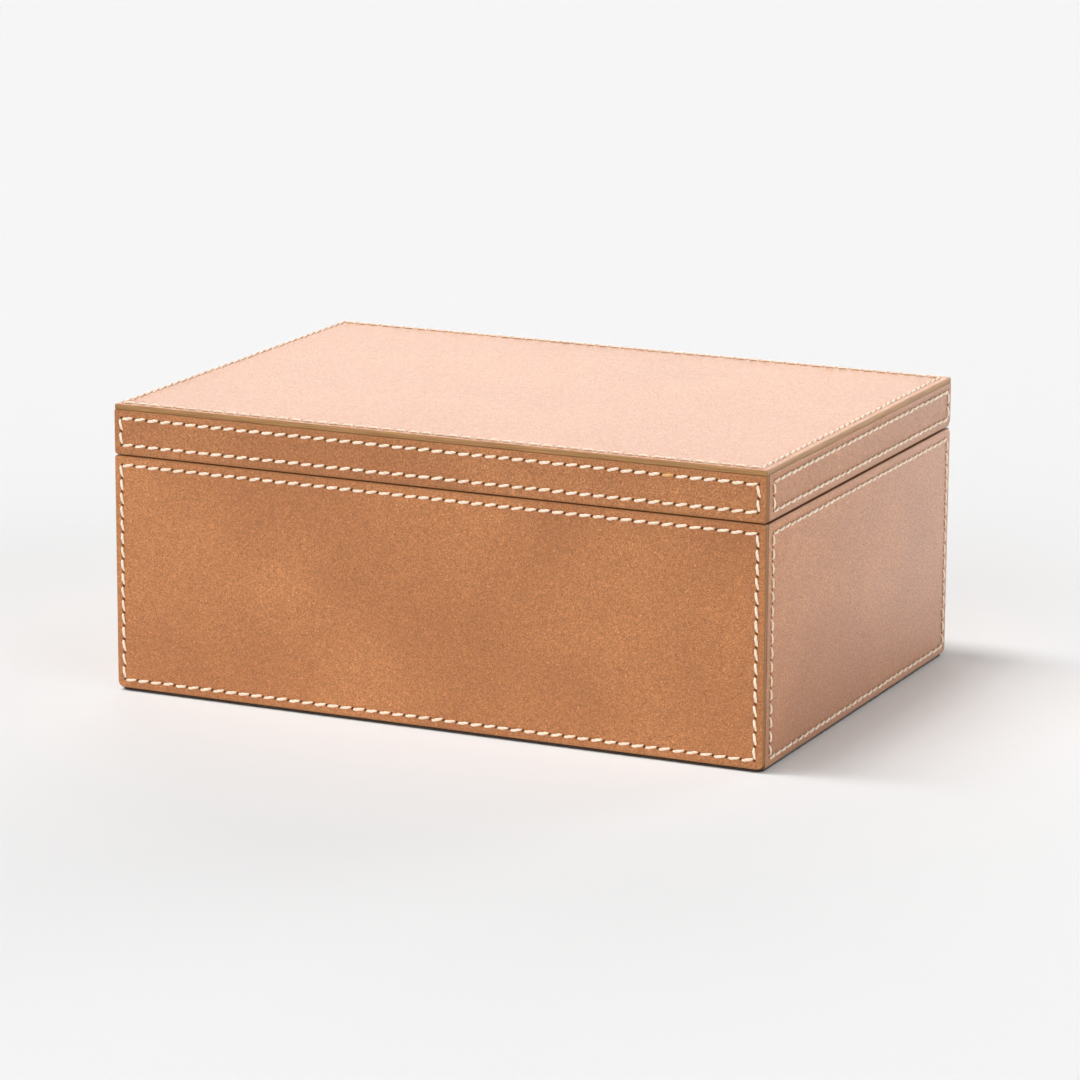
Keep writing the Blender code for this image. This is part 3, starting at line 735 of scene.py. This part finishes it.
class Nodes:
    """A material's node tree, with one short method for each kind of node that it uses."""

    def __init__(self, name):
        self.material = bpy.data.materials.new(name)
        self.material.use_nodes = True
        self.tree = self.material.node_tree
        self.tree.nodes.clear()
        self.shader = self.tree.nodes.new("ShaderNodeBsdfPrincipled")
        self.output = self.tree.nodes.new("ShaderNodeOutputMaterial")
        self.put(self.output.inputs[0], self.shader.outputs[0])

    def put(self, socket, value):
        """Links a socket to another node's output, or sets its value."""
        if isinstance(value, bpy.types.NodeSocket):
            self.tree.links.new(value, socket)
        elif isinstance(value, tuple) and len(value) == 3 and socket.type == "RGBA":
            socket.default_value = (*value, 1.0)
        else:
            socket.default_value = value

    def attribute(self, name, kind="Fac"):
        node = self.tree.nodes.new("ShaderNodeAttribute")
        node.attribute_name = name
        return node.outputs[kind]

    def place(self, scale=(1.0, 1.0, 1.0), source=None):
        """Coordinates in millimetres, stretched by scale: a source's, or else the object's own."""
        if source is None:
            source = self.tree.nodes.new("ShaderNodeTexCoord").outputs["Object"]
            scale = tuple(s / MM for s in scale)
        node = self.tree.nodes.new("ShaderNodeVectorMath")
        node.operation = "MULTIPLY"
        self.put(node.inputs[0], source)
        node.inputs[1].default_value = scale
        return node.outputs[0]

    def noise(self, place, size, detail=3.0, roughness=0.55, distortion=0.0):
        """Noise whose features are about size millimetres."""
        node = self.tree.nodes.new("ShaderNodeTexNoise")
        self.put(node.inputs["Vector"], place)
        node.inputs["Scale"].default_value = 1.0 / size
        node.inputs["Detail"].default_value = detail
        node.inputs["Roughness"].default_value = roughness
        node.inputs["Distortion"].default_value = distortion
        return node.outputs["Fac"]

    def vector_sum(self, first, second):
        node = self.tree.nodes.new("ShaderNodeVectorMath")
        self.put(node.inputs[0], first)
        self.put(node.inputs[1], second)
        return node.outputs[0]

    def noise_vector(self, place, size):
        """A vector of noise from 0 to 1 on each axis."""
        return self.noise(place, size).node.outputs["Color"]

    def along(self, place, axis=0):
        """One coordinate alone."""
        node = self.tree.nodes.new("ShaderNodeSeparateXYZ")
        self.put(node.inputs[0], place)
        return node.outputs[axis]

    def cells(self, place, size, feature="F1"):
        """Distance to the middle, or to the edge, of cells about size millimetres wide."""
        node = self.tree.nodes.new("ShaderNodeTexVoronoi")
        node.feature = feature
        self.put(node.inputs["Vector"], place)
        node.inputs["Scale"].default_value = 1.0 / size
        return node.outputs["Distance"]

    def math(self, operation, first, second=0.0, clamp=False):
        node = self.tree.nodes.new("ShaderNodeMath")
        node.operation = operation
        node.use_clamp = clamp
        self.put(node.inputs[0], first)
        self.put(node.inputs[1], second)
        return node.outputs[0]

    def span(self, value, low, high, to_low=0.0, to_high=1.0):
        """Maps low..high of a value to another span, held at its ends."""
        node = self.tree.nodes.new("ShaderNodeMapRange")
        self.put(node.inputs["Value"], value)
        ends = {"From Min": low, "From Max": high, "To Min": to_low, "To Max": to_high}
        for name, number in ends.items():
            node.inputs[name].default_value = number
        return node.outputs[0]

    def mix(self, share, first, second, blend="MIX"):
        node = self.tree.nodes.new("ShaderNodeMix")
        node.data_type = "RGBA"
        node.blend_type = blend
        self.put(node.inputs[0], share)
        self.put(node.inputs[6], first)
        self.put(node.inputs[7], second)
        return node.outputs[2]

    def tint(self, colour, mask, start, end, share, stain):
        """A colour that takes a share of a stain as the mask goes from start to end."""
        return self.mix(self.span(mask, start, end, 0.0, share), colour, stain)

    def bump(self, height, depth):
        """Relief of the given depth in millimetres."""
        node = self.tree.nodes.new("ShaderNodeBump")
        node.inputs["Distance"].default_value = depth * MM
        self.put(node.inputs["Height"], height)
        return node.outputs[0]

    def finish(self, **values):
        """Sets the shader's own sockets, by names with underscores for spaces."""
        for name, value in values.items():
            self.put(self.shader.inputs[name.replace("_", " ")], value)
        return self.material


def edges_and_painted_shade(n, place, colour):
    """A leather's colour with its burnished cut edge, and painted shade in its seams and in the slits of
    its stitches.
    """
    edge = n.attribute("cut_edge")
    streaks = n.noise(n.place(EDGE_STREAKS, place), 1.0, detail=4.0, roughness=0.65)
    burnished = n.mix(n.span(streaks, 0.36, 0.62), OLIVE_DARK, OLIVE_LIGHT)
    ragged = n.span(n.noise(place, EDGE_RAGGED_SIZE), 0.3, 0.7, -0.18, 0.18)
    share = n.math("ADD", edge, ragged, clamp=True)
    share = n.math("MULTIPLY", share, n.span(edge, 0.0, 0.15), clamp=True)
    colour = n.mix(share, colour, burnished)
    # Painted shade in the seams, then in the slits
    colour = n.mix(n.attribute("seam"), colour, SEAM_SHADE_BROWN)
    return n.mix(n.span(n.attribute("slit"), 0.10, 0.75), colour, HOLE_SHADE_BROWN)


def edge_material():
    """Burnished cut edges, with the painted shade of seams and slits, waxed down so that they have no nap
    to shine.
    """
    n = Nodes("leather_burnished_and_shaded")
    place = n.attribute("place", "Vector")
    colour = edges_and_painted_shade(n, place, n.mix(n.noise(place, EDGE_CLOUD_SIZE), TAN_DARK, TAN_LIGHT))
    fine = n.noise(place, EDGE_WAX_SIZE, detail=3.0, roughness=0.6)
    return n.finish(
        Base_Color=colour, Roughness=n.span(fine, 0.3, 0.7, 0.42, 0.55), Normal=n.bump(fine, 0.03),
        IOR=1.5, Specular_IOR_Level=0.25)


def tanned_colour(n, place, mottle, fibre, cloudy):
    """The tan of a leather, with its soft clouds and blotches, its mottle and its fibres."""
    clouds = n.noise(place, CLOUD_SIZE, detail=1.0, roughness=0.5, distortion=0.3)
    blotches = n.noise(place, BLOTCH_SIZE, detail=3.0, roughness=0.6, distortion=0.4)
    share = n.span(clouds, 0.36, 0.64, 0.5 - 0.5 * cloudy, 0.5 + 0.5 * cloudy)
    colour = n.mix(share, TAN_DARK, TAN_LIGHT)
    colour = n.tint(colour, blotches, 0.42, 0.62, BLOTCH_DARK * cloudy, TAN_DARK)
    colour = n.tint(colour, mottle, 0.48, 0.66, MOTTLE_DARK, TAN_DARK)
    colour = n.tint(colour, mottle, 0.48, 0.34, MOTTLE_PALE, TAN_PALE)
    colour = n.tint(colour, fibre, 0.48, 0.64, FIBRE_PALE, TAN_PALE)
    return n.tint(colour, fibre, 0.56, 0.40, FIBRE_DARK, TAN_DEEP)


def leather_marks(n, place):
    """Masks of a leather's fine creases, its wrinkles and its pores, whose dark is the grain's own colour
    and painted shade.
    """
    warped = n.vector_sum(place, n.noise_vector(place, CREASE_WARP_SIZE))
    creases = n.span(n.cells(warped, CREASE_SIZE, "DISTANCE_TO_EDGE"), 0.0, 0.20, 1.0, 0.0)
    ridges = n.noise(place, WRINKLE_SIZE, detail=2.0, roughness=0.6, distortion=0.6)
    wrinkles = n.span(n.math("ABSOLUTE", n.math("SUBTRACT", ridges, 0.5)), 0.0, 0.055, 1.0, 0.0)
    pores = n.span(n.cells(place, PORE_SIZE), 0.0, 0.26, 1.0, 0.0)
    sparse = n.span(n.noise(place, PORE_PATCH_SIZE), 0.44, 0.60)
    return creases, wrinkles, n.math("MULTIPLY", pores, sparse)


def painted_panel_light(n, bare, colour, painted_sheen, left_painted_light, right_painted_light, painted_foot_shade):
    """A leather's colour with painted light along the panel, painted sheen towards its right end and
    painted shade at its foot.
    """
    across, upward = n.along(bare), n.along(bare, 1)
    colour = n.mix(1.0, colour, n.span(across, 0.0, LEATHER_SPAN, left_painted_light, right_painted_light), "MULTIPLY")
    # Painted sheen, paler and whiter along the panel towards its right end
    colour = n.tint(colour, across, 0.0, SIDE_SPAN, painted_sheen, TAN_PAINTED_SHEEN)
    # Painted shade, darker towards the foot
    return n.mix(n.span(upward, 0.0, SHADED_HEIGHT, painted_foot_shade, 0.0), colour, TAN_DARK)


def leather_material(name, number, cloudy, painted_sheen, left_painted_light, right_painted_light, painted_foot_shade, grained):
    """Vegetable-tanned leather: faint clouds, fine grain, dark slits and burnished edges."""
    n = Nodes(name)
    bare = n.attribute("place", "Vector")
    place = n.vector_sum(bare, tuple(number * step for step in HIDE_SHIFT))
    mottle = n.noise(place, MOTTLE_SIZE, detail=3.0, roughness=0.65)
    fibre = n.noise(place, FIBRE_SIZE, detail=2.0, roughness=0.75, distortion=0.8)
    grain = n.noise(place, GRAIN_SIZE, detail=2.0, roughness=0.8, distortion=0.8)
    creases, wrinkles, pores = leather_marks(n, place)
    colour = tanned_colour(n, place, mottle, fibre, cloudy)
    # Darker creases, wrinkles and pores: the grain's colour, with painted shade in the hollows
    for mask, dark in ((creases, CREASE_DARK), (wrinkles, WRINKLE_DARK), (pores, PORE_DARK)):
        colour = n.mix(n.math("MULTIPLY", mask, dark), colour, TAN_DEEP)
    colour = painted_panel_light(n, bare, colour, painted_sheen, left_painted_light, right_painted_light, painted_foot_shade)
    colour = n.mix(1.0, colour, n.span(grain, 0.30, 0.70, 1.0 - grained, 1.0 + grained), "MULTIPLY")
    height = n.math("ADD", grain, n.math("MULTIPLY", fibre, 0.6))
    height = n.math("SUBTRACT", height, n.math("MULTIPLY", wrinkles, 0.6))
    height = n.math("SUBTRACT", height, n.math("MULTIPLY", pores, 0.4))
    waxed = n.math("MULTIPLY", n.attribute("cut_edge"), 0.05)
    rough = n.math("SUBTRACT", n.span(mottle, 0.3, 0.7, 0.40, 0.44), waxed)
    return n.finish(
        Base_Color=edges_and_painted_shade(n, place, colour), Roughness=rough,
        Normal=n.bump(height, BUMP_BASE + BUMP_GRAIN * grained), IOR=1.5,
        Sheen_Weight=0.22, Sheen_Roughness=0.35)


def thread_material():
    """Waxed linen thread, with painted shade between its strands."""
    n = Nodes("thread_linen")
    place = n.place()
    tone, strand = n.attribute("tone"), n.attribute("strand")
    fuzz = n.noise(place, THREAD_FUZZ_SIZE, detail=3.0, roughness=0.6)
    hairs = n.noise(place, THREAD_HAIR_SIZE, detail=2.0)
    colour = n.tint(THREAD_CREAM, tone, 0.0, 1.0, 0.35, THREAD_TONE_AND_SHADE)
    colour = n.tint(colour, tone, 1.2, 1.8, 1.0, THREAD_AMBER)
    # Painted shade between the strands
    colour = n.mix(n.span(strand, -1.0, 0.2, 0.45, 0.0), colour, THREAD_TONE_AND_SHADE)
    colour = n.tint(colour, fuzz, 0.45, 0.75, 0.2, THREAD_TONE_AND_SHADE)
    relief = n.math("ADD", n.math("MULTIPLY", strand, 0.6), hairs)
    return n.finish(
        Base_Color=colour, Roughness=n.span(fuzz, 0.3, 0.7, 0.5, 0.65), Normal=n.bump(relief, 0.04),
        Sheen_Weight=0.2, Sheen_Roughness=0.5)


def suede_material():
    """Brushed suede of the linings, with a nap that lies in patches."""
    n = Nodes("lining_suede")
    place = n.place()
    patches = n.noise(place, SUEDE_PATCH_SIZE, detail=4.0, roughness=0.6, distortion=0.25)
    nap = n.noise(place, SUEDE_NAP_SIZE, detail=3.0, roughness=0.75)
    colour = n.mix(n.span(patches, 0.25, 0.75), SUEDE_DARK, SUEDE_LIGHT)
    colour = n.tint(colour, nap, 0.40, 0.66, 0.60, SUEDE_DARK)
    relief = n.math("ADD", nap, n.math("MULTIPLY", patches, 1.5))
    return n.finish(
        Base_Color=colour, Roughness=0.92, Normal=n.bump(relief, 0.09),
        Sheen_Weight=0.35, Sheen_Roughness=0.45)


def felt_material():
    """Pressed wool felt under the box."""
    n = Nodes("felt_wool")
    clumps = n.noise(n.place(), FELT_CLUMP_SIZE, detail=5.0, roughness=0.7, distortion=1.2)
    combed = n.place(FELT_HAIRS)
    hairs = n.noise(combed, FELT_HAIR_SIZE, detail=3.0, roughness=0.7, distortion=2.0)
    colour = n.mix(n.span(clumps, 0.35, 0.7), FELT_DARK, FELT_LIGHT)
    relief = n.math("ADD", clumps, n.math("MULTIPLY", hairs, 0.6))
    return n.finish(
        Base_Color=colour, Roughness=0.95, Normal=n.bump(relief, 0.18),
        Sheen_Weight=0.3, Sheen_Roughness=0.5)


def board_material():
    """Birch board, with the grain along it."""
    n = Nodes("board_birch")
    grain = n.noise(n.place(BOARD_GRAIN), 1.0, detail=5.0, roughness=0.6, distortion=0.6)
    flecks = n.noise(n.place(BOARD_FLECKS), 1.0, detail=2.0)
    colour = n.mix(n.span(grain, 0.3, 0.7), BOARD_DARK, BOARD_LIGHT)
    colour = n.tint(colour, flecks, 0.55, 0.75, 0.3, BOARD_DARK)
    return n.finish(
        Base_Color=colour, Roughness=n.span(grain, 0.3, 0.7, 0.55, 0.7), Normal=n.bump(grain, 0.05))


def brass_material(name, worn):
    """Satin brass, brushed along the box and dulled in patches."""
    n = Nodes(name)
    brushed = n.noise(n.place(BRASS_BRUSHED), 1.0, detail=3.0, roughness=0.7)
    tarnish = n.noise(n.place(), BRASS_TARNISH_SIZE, detail=4.0, roughness=0.65, distortion=0.5)
    colour = n.tint(BRASS_LIGHT, tarnish, 0.35, 0.7, worn, BRASS_DARK)
    rough = n.math("ADD", n.span(brushed, 0.3, 0.7, 0.26, 0.38), n.span(tarnish, 0.4, 0.7, 0.0, 0.14))
    return n.finish(Base_Color=colour, Metallic=1.0, Roughness=rough, Normal=n.bump(brushed, 0.012))


def panel_plans():
    """How each panel is made, by its body and the way that it faces.

    Rows, closed and seam_shades go left, right, low, high; corners go round from low left, anticlockwise.
    The seam_shades say how dark each side's painted shade is.
    """
    foot = ("round", FOOT_CORNER, FOOT_CORNER)
    parting = ("round", PARTING_CORNER, PARTING_CORNER)
    lid_top = ("round", LID_TOP_CORNER, LID_TOP_CORNER)
    top = ("round", TOP_CORNER, TOP_CORNER)
    tiny = ("round", LEAST_CORNER, LEAST_CORNER)
    cut = ("cut", AXIS_INSET, AXIS_INSET * math.tan(STOP_BEVEL_ANGLE) - AXIS_PAST_RIM)
    seam, shut, low = SEAM_CLOSED, TOP_SEAM_CLOSED, FOOT_LOWERED
    rim, wide = PARTING_CLOSED, -PARTING_OPENED
    places = [(x - POCKET_HALF_WIDTH, x + POCKET_HALF_WIDTH) for x in HINGE_PLACES]
    pockets = (POCKET_DEPTH, POCKET_BLEND, places)
    return {
        "base_front": dict(
            rows=(0.0027, 0.0031, 0.0027, 0.0034), counts=(48, 16),
            corners=(foot, foot, parting, parting), closed=(0, 0, low, rim), seam_shades=(0, 0.5, 0.5, 1)),
        "base_back": dict(
            rows=(0.0030, 0.0030, 0.0027, 0.0036), counts=(47, 16),
            corners=(tiny,) * 4, closed=(seam, seam, low, 0), seam_shades=(1, 1, 0.5, 0),
            bevel="high", pockets=pockets),
        "base_right": dict(
            rows=(0.0042, 0.0032, 0.0026, 0.0040), counts=(33, 16),
            corners=(tiny, foot, cut, tiny), closed=(seam, 0, low, wide), seam_shades=(1, 0, 0.5, 1)),
        "base_left": dict(
            rows=(0.0032, 0.0042, 0.0026, 0.0040), counts=(33, 16),
            corners=(foot, tiny, tiny, cut), closed=(0, seam, low, wide), seam_shades=(0, 0.8, 0.5, 1)),
        "lid_front": dict(
            rows=(0.0027, 0.0031, 0.0035, 0.0027), counts=(48, 2),
            corners=(parting, parting, lid_top, lid_top), closed=(0, 0, rim, shut), seam_shades=(0, 0.7, 1, 0)),
        "lid_back": dict(
            rows=(0.0030, 0.0030, 0.0040, 0.0027), counts=(47, 2),
            corners=(tiny,) * 4, closed=(seam, seam, 0, shut), seam_shades=(1, 1, 0, 0),
            bevel="low", pockets=pockets),
        "lid_right": dict(
            rows=(0.0042, 0.0032, 0.0033, 0.0025), counts=(33, 2),
            corners=(tiny, cut, lid_top, tiny), closed=(seam, 0, wide, shut), seam_shades=(1, 0, 1, 0)),
        "lid_left": dict(
            rows=(0.0032, 0.0042, 0.0033, 0.0025), counts=(33, 2),
            corners=(cut, tiny, tiny, lid_top), closed=(0, seam, wide, shut), seam_shades=(0, 0.8, 1, 0)),
        "lid_top": dict(
            rows=(0.0020, 0.0033, 0.0034, 0.0030), counts=(48, 34),
            corners=(top,) * 4, closed=(0,) * 4, seam_shades=(0,) * 4),
    }


def build_panels():
    """The leather panels and their stitches, each over the node that it stands for."""
    thread, burnished = thread_material(), edge_material()
    for number, (name, plan) in enumerate(panel_plans().items()):
        body, facing = name.split("_")
        node = f"{name}_leather"
        panel = Panel(node, facing, **plan)
        hide = leather_material(f"leather_{name}", number, *LEATHER_LOOK_AND_PAINTED_LIGHT[name])
        leather = leather_piece(f"{name}_hide", panel, number, (hide, burnished))
        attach(leather, body)
        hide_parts(node)
        tinted = TINTED_STITCH if name == "lid_front" else None
        stitches = thread_piece(f"{name}_stitches", panel, THREAD_SEED + number, tinted)
        stitches.data.materials.append(thread)
        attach(stitches, body)


def dress_nodes():
    """The felt sole, and materials for the nodes that keep their own shape."""
    felt = felt_piece("base_sole")
    felt.data.materials.append(felt_material())
    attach(felt, "base")
    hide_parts("base_felt")
    finishes = {
        "_lining": suede_material(),
        "_board": board_material(),
        "_leaf": brass_material("brass_leaf", 0.6),
        "_pin": brass_material("brass_pin", 0.9),
        "screw_": brass_material("brass_screw", 0.3),
    }
    for name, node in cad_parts.items():
        for part, material in finishes.items():
            if part in name:
                for slot in node.material_slots:
                    slot.material = material


def direction_from(bearing, height):
    """The way to a point at a bearing, from the front towards the right, and a height, as angles."""
    level = math.cos(height)
    return Vector((math.sin(bearing) * level, -math.cos(bearing) * level, math.sin(height)))


def camera():
    """A camera at the photograph's viewpoint."""
    back = direction_from(CAMERA_AZIMUTH, CAMERA_ELEVATION)
    level = Vector((math.cos(CAMERA_AZIMUTH), math.sin(CAMERA_AZIMUTH), 0.0))
    raised = back.cross(level)
    right = level * math.cos(CAMERA_ROLL) + raised * math.sin(CAMERA_ROLL)
    up = raised * math.cos(CAMERA_ROLL) - level * math.sin(CAMERA_ROLL)
    data = bpy.data.cameras.new("camera")
    data.lens = CAMERA_LENS
    data.sensor_width = CAMERA_SENSOR
    data.clip_end = CAMERA_FAR_END
    eye = bpy.data.objects.new("camera", data)
    bpy.context.scene.collection.objects.link(eye)
    eye.matrix_world = Matrix((
        (right.x, up.x, back.x, CAMERA_PLACE[0]),
        (right.y, up.y, back.y, CAMERA_PLACE[1]),
        (right.z, up.z, back.z, CAMERA_PLACE[2]),
        (0.0, 0.0, 0.0, 1.0)))
    bpy.context.scene.camera = eye


def sun(name, towards, strength, width):
    """A soft distant lamp, by its light on a face square to it and its width in degrees."""
    data = bpy.data.lights.new(name, "SUN")
    data.energy = strength * math.pi
    data.angle = math.radians(width)
    lamp = bpy.data.objects.new(name, data)
    bpy.context.scene.collection.objects.link(lamp)
    lamp.rotation_euler = towards.to_track_quat("Z", "Y").to_euler()


def lamps():
    """The overhead strip and the four low lamps round the box."""
    forward = math.tan(math.radians(KEY_FORWARD))
    for number, (lean, strength) in enumerate(KEY_STRIP):
        sun(f"key_{number}", Vector((-math.tan(math.radians(lean)), -forward, 1.0)), strength, KEY_WIDTH)
    for name, bearing, height, strength, width in LAMPS:
        sun(name, direction_from(math.radians(bearing), math.radians(height)), strength, width)


def floor_material():
    """Matt white paper, lifted for the camera alone so that it reads as the pale background."""
    n = Nodes("floor_paper")
    n.finish(Base_Color=FLOOR_COLOUR, Roughness=1.0, Specular_IOR_Level=0.0)
    glow = n.tree.nodes.new("ShaderNodeEmission")
    n.put(glow.inputs["Color"], (BACKGROUND, BACKGROUND, BACKGROUND))
    ray = n.tree.nodes.new("ShaderNodeLightPath").outputs["Is Camera Ray"]
    both = n.tree.nodes.new("ShaderNodeMixShader")
    n.put(both.inputs[0], n.math("MULTIPLY", ray, FLOOR_LIFT))
    n.put(both.inputs[1], n.shader.outputs[0])
    n.put(both.inputs[2], glow.outputs[0])
    n.put(n.output.inputs[0], both.outputs[0])
    return n.material


def studio():
    """A pale floor and its lamps, in a surround that the camera sees as the pale background."""
    half = FLOOR_SIZE / 2
    corners = [(-half, -half, 0.0), (half, -half, 0.0), (half, half, 0.0), (-half, half, 0.0)]
    floor = mesh_object("floor", corners, [(0, 1, 2, 3)])
    floor.data.materials.append(floor_material())
    lamps()
    world = bpy.data.worlds.new("surround")
    bpy.context.scene.world = world
    world.use_nodes = True
    tree = world.node_tree
    surround = tree.nodes["Background"]
    surround.inputs[0].default_value = (1.0, 1.0, 1.0, 1.0)
    surround.inputs[1].default_value = SURROUND
    seen = tree.nodes.new("ShaderNodeBackground")
    seen.inputs[0].default_value = (BACKGROUND, BACKGROUND, BACKGROUND, 1.0)
    both = tree.nodes.new("ShaderNodeMixShader")
    tree.links.new(tree.nodes.new("ShaderNodeLightPath").outputs["Is Camera Ray"], both.inputs[0])
    tree.links.new(surround.outputs[0], both.inputs[1])
    tree.links.new(seen.outputs[0], both.inputs[2])
    tree.links.new(both.outputs[0], tree.nodes["World Output"].inputs[0])


build_panels()
dress_nodes()
camera()
studio()
bpy.context.scene.view_settings.view_transform = "Standard"
